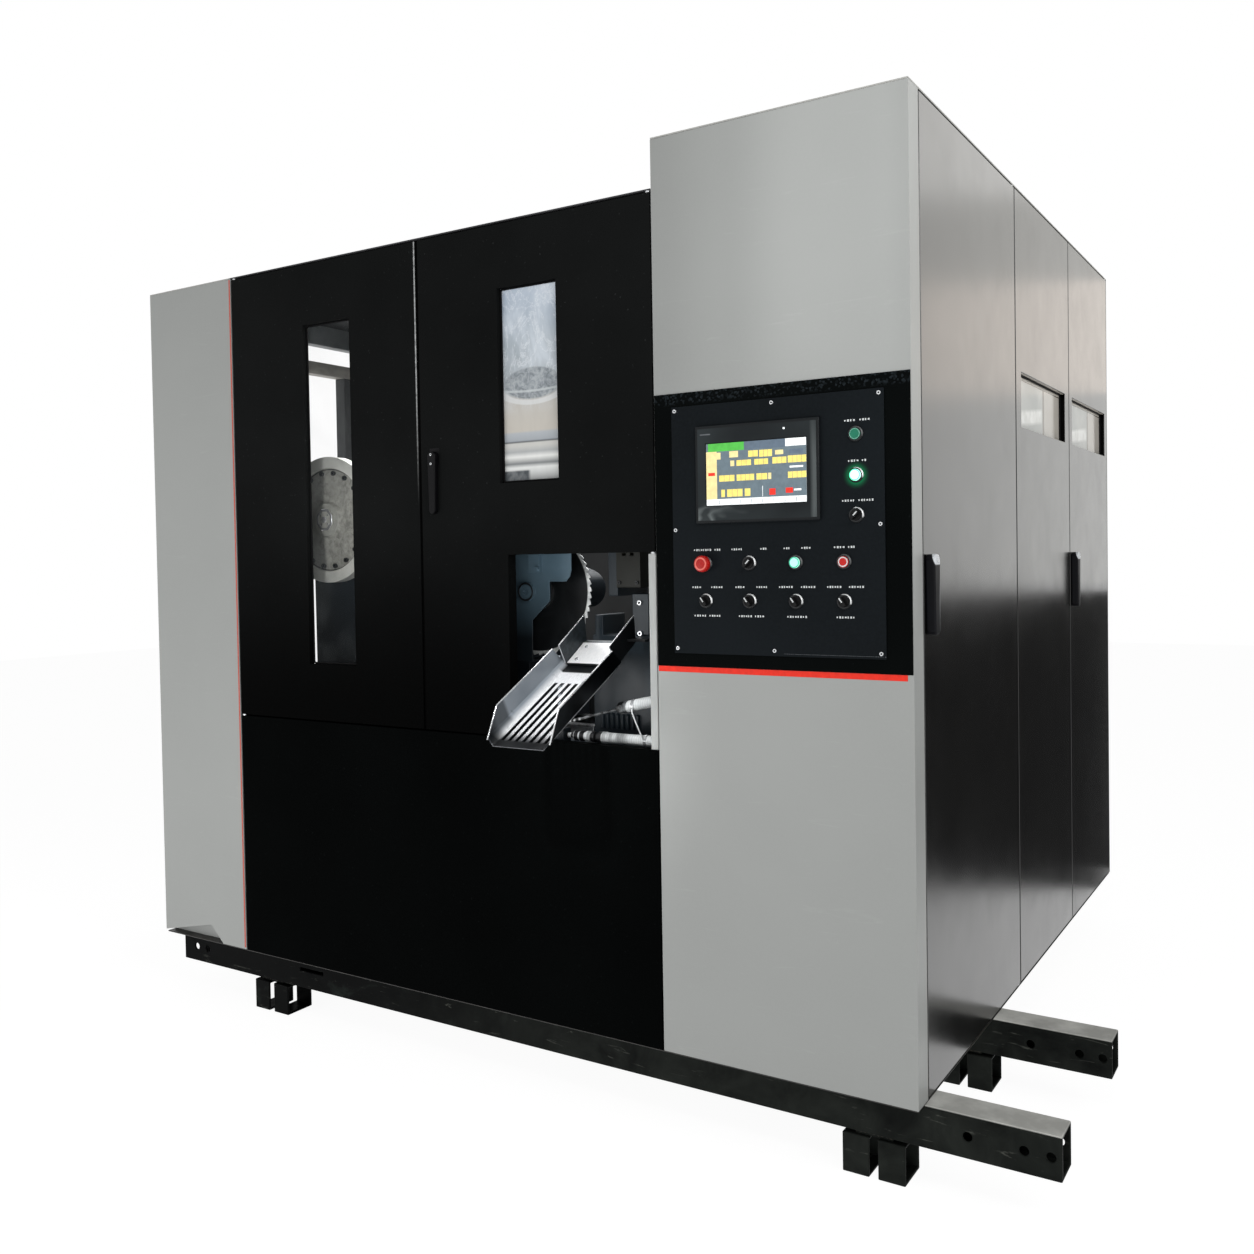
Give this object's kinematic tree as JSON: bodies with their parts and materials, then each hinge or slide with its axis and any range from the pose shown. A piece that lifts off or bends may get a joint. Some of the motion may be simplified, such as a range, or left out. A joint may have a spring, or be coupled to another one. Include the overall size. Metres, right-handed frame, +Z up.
{
  "type": "cnc circular saw machine",
  "caption": "Enclosed circular cold saw for round bar, with hinged doors, a control cabinet, a sloping parts chute and a two-rail skid.",
  "frame": {"origin": "on the floor, under the middle of the whole machine", "axes": "+X to the operator's right along the front, +Y from the front into the machine, +Z up"},
  "size_m": [2.486, 2.162, 2.119],
  "materials": {
    "grey_paint": "satin",
    "black_paint": "fine texture",
    "side_paint": "gloss black",
    "roof_paint": "satin",
    "band_black": "speckled satin",
    "skid_paint": "worn satin",
    "frame_paint": "satin",
    "beam_paint": "satin",
    "machine_paint": "satin",
    "vise_paint": "satin",
    "clamp_paint": "satin",
    "plate_black": "satin",
    "hmi_plastic": "satin",
    "screen": "glossy",
    "chrome": "polished",
    "steel": "ground",
    "chute_steel": "brushed",
    "cast_wheel": "machined",
    "glass": "clear",
    "estop_red": "glossy",
    "button_green": "glossy",
    "button_lit": "lit",
    "button_pale": "lit",
    "button_red": "glossy",
    "knob_black": "satin",
    "latch_black": "satin",
    "conduit": "satin"
  },
  "bodies": {
    "frame": {"skid_rails": "skid_paint", "foot_stubs": "skid_paint", "foot_plates": "skid_paint", "machine_bed": "machine_paint", "frame_posts": "frame_paint", "frame_beams": "beam_paint", "front_left_panel": "grey_paint", "left_side_panel": "frame_paint", "lower_apron": "black_paint", "roof_panels": "roof_paint", "rear_panels": "grey_paint", "cabinet_front": "grey_paint", "control_band": "band_black", "partition_wall": "grey_paint", "side_panel_b": "side_paint", "side_pane_b": "glass", "door_pivots": "steel", "control_plate": "plate_black", "hmi_housing": "hmi_plastic", "hmi_screen": "screen", "operator_rings": "chrome", "guide_rails": "steel", "vise_body": "vise_paint", "clamp_cylinder": "clamp_paint", "upper_chute": "vise_paint", "chute_plate": "steel", "lower_chute": "chute_steel", "conduits": "conduit"},
    "door_left": {"front_left_door": "black_paint", "front_left_pane": "glass"},
    "door_right": {"front_right_door": "black_paint", "front_right_pane": "glass"},
    "latch_front": {"front_latch": "latch_black"},
    "door_a": {"side_door_a": "side_paint"},
    "latch_a": {"side_latch_a": "latch_black"},
    "door_c": {"side_door_c": "side_paint", "side_pane_c": "glass"},
    "latch_c": {"side_latch_c": "latch_black"},
    "estop": {"estop_head": "estop_red"},
    "button_green": {"green_button": "button_green"},
    "button_lit": {"lit_button": "button_lit"},
    "button_pale": {"pale_button": "button_pale"},
    "button_red": {"red_button": "button_red"},
    "sel_a": {"selector_a": "knob_black"},
    "sel_b": {"selector_b": "knob_black"},
    "sel_c": {"selector_c": "knob_black"},
    "sel_d": {"selector_d": "knob_black"},
    "sel_e": {"selector_e": "knob_black"},
    "sel_f": {"selector_f": "knob_black"},
    "head": {"saw_head": "machine_paint", "blade_guard": "machine_paint", "drive_motor": "machine_paint"},
    "wheel": {"flywheel": "cast_wheel"},
    "arbor": {"spindle": "steel", "saw_blade": "steel"},
    "vise_jaw": {"moving_jaw": "steel"},
    "ram": {"clamp_ram": "steel"},
    "carriage": {"feed_carriage": "machine_paint"},
    "carriage_jaw": {"feed_jaw": "steel"},
    "roller": {"bar_roller": "steel"}
  },
  "joints": [
    {"name": "left_door_hinge", "type": "hinge", "parent": "frame", "child": "door_left", "pos_m": [-0.887, -0.869, 0.827], "axis": [0, 0, -1], "range_deg": [0, 100]},
    {"name": "right_door_hinge", "type": "hinge", "parent": "frame", "child": "door_right", "pos_m": [0.423, -0.869, 1.247], "axis": [0, 0, 1], "range_deg": [0, 95]},
    {"name": "front_latch_turn", "type": "hinge", "parent": "door_right", "child": "latch_front", "pos_m": [-0.18, -0.876, 1.484], "axis": [0, -1, 0], "range_deg": [0, 90]},
    {"name": "side_door_a_hinge", "type": "hinge", "parent": "frame", "child": "door_a", "pos_m": [0.985, -0.11, 0.18], "axis": [0, 0, 1], "range_deg": [0, 90]},
    {"name": "side_door_c_hinge", "type": "hinge", "parent": "frame", "child": "door_c", "pos_m": [0.985, 1.068, 0.18], "axis": [0, 0, 1], "range_deg": [0, 100]},
    {"name": "side_latch_a_turn", "type": "hinge", "parent": "door_a", "child": "latch_a", "pos_m": [0.992, -0.79, 1.212], "axis": [1, 0, 0], "range_deg": [0, 90]},
    {"name": "side_latch_c_turn", "type": "hinge", "parent": "door_c", "child": "latch_c", "pos_m": [0.992, 0.53, 1.212], "axis": [1, 0, 0], "range_deg": [0, 90]},
    {"name": "estop_push", "type": "slide", "parent": "frame", "child": "estop", "axis": [0, 1, 0], "range_m": [0, 0.004]},
    {"name": "green_push", "type": "slide", "parent": "frame", "child": "button_green", "axis": [0, 1, 0], "range_m": [0, 0.004], "stiffness_N_per_m": 400},
    {"name": "lit_push", "type": "slide", "parent": "frame", "child": "button_lit", "axis": [0, 1, 0], "range_m": [0, 0.004], "stiffness_N_per_m": 400},
    {"name": "pale_push", "type": "slide", "parent": "frame", "child": "button_pale", "axis": [0, 1, 0], "range_m": [0, 0.004], "stiffness_N_per_m": 400},
    {"name": "red_push", "type": "slide", "parent": "frame", "child": "button_red", "axis": [0, 1, 0], "range_m": [0, 0.004], "stiffness_N_per_m": 400},
    {"name": "selector_a_turn", "type": "hinge", "parent": "frame", "child": "sel_a", "pos_m": [0.884, -0.8805, 1.3095], "axis": [0, 1, 0], "range_deg": [-90, 0]},
    {"name": "selector_b_turn", "type": "hinge", "parent": "frame", "child": "sel_b", "pos_m": [0.655, -0.8805, 1.22], "axis": [0, 1, 0], "range_deg": [-90, 0]},
    {"name": "selector_c_turn", "type": "hinge", "parent": "frame", "child": "sel_c", "pos_m": [0.555, -0.8805, 1.143], "axis": [0, 1, 0], "range_deg": [0, 70]},
    {"name": "selector_d_turn", "type": "hinge", "parent": "frame", "child": "sel_d", "pos_m": [0.655, -0.8805, 1.143], "axis": [0, 1, 0], "range_deg": [0, 70]},
    {"name": "selector_e_turn", "type": "hinge", "parent": "frame", "child": "sel_e", "pos_m": [0.7565, -0.8805, 1.143], "axis": [0, 1, 0], "range_deg": [0, 70]},
    {"name": "selector_f_turn", "type": "hinge", "parent": "frame", "child": "sel_f", "pos_m": [0.8575, -0.8805, 1.143], "axis": [0, 1, 0], "range_deg": [0, 70]},
    {"name": "saw_feed", "type": "slide", "parent": "frame", "child": "head", "axis": [1, 0, 0], "range_m": [0, 0.13]},
    {"name": "flywheel_spin", "type": "hinge", "parent": "head", "child": "wheel", "pos_m": [-0.6955, -0.716, 1.354], "axis": [0, 1, 0], "continuous": true},
    {"name": "blade_spin", "type": "hinge", "parent": "head", "child": "arbor", "pos_m": [-0.0035, -0.706, 1.158], "axis": [0, 1, 0], "continuous": true},
    {"name": "vise_jaw_slide", "type": "slide", "parent": "frame", "child": "vise_jaw", "axis": [-1, 0, 0], "range_m": [-0.028, 0.035]},
    {"name": "clamp_ram_slide", "type": "slide", "parent": "frame", "child": "ram", "axis": [0, 0, 1], "range_m": [-0.06, 0.016]},
    {"name": "bar_feed_slide", "type": "slide", "parent": "frame", "child": "carriage", "axis": [0, -1, 0], "range_m": [0, 0.55]},
    {"name": "feed_jaw_slide", "type": "slide", "parent": "carriage", "child": "carriage_jaw", "axis": [-1, 0, 0], "range_m": [-0.03, 0.06]},
    {"name": "roller_spin", "type": "hinge", "parent": "frame", "child": "roller", "pos_m": [0.212, 0.826, 1.023], "axis": [1, 0, 0], "continuous": true}
  ],
  "couplings": [
    {"joint": "blade_spin", "follows": "flywheel_spin", "ratio": 0.2}
  ]
}
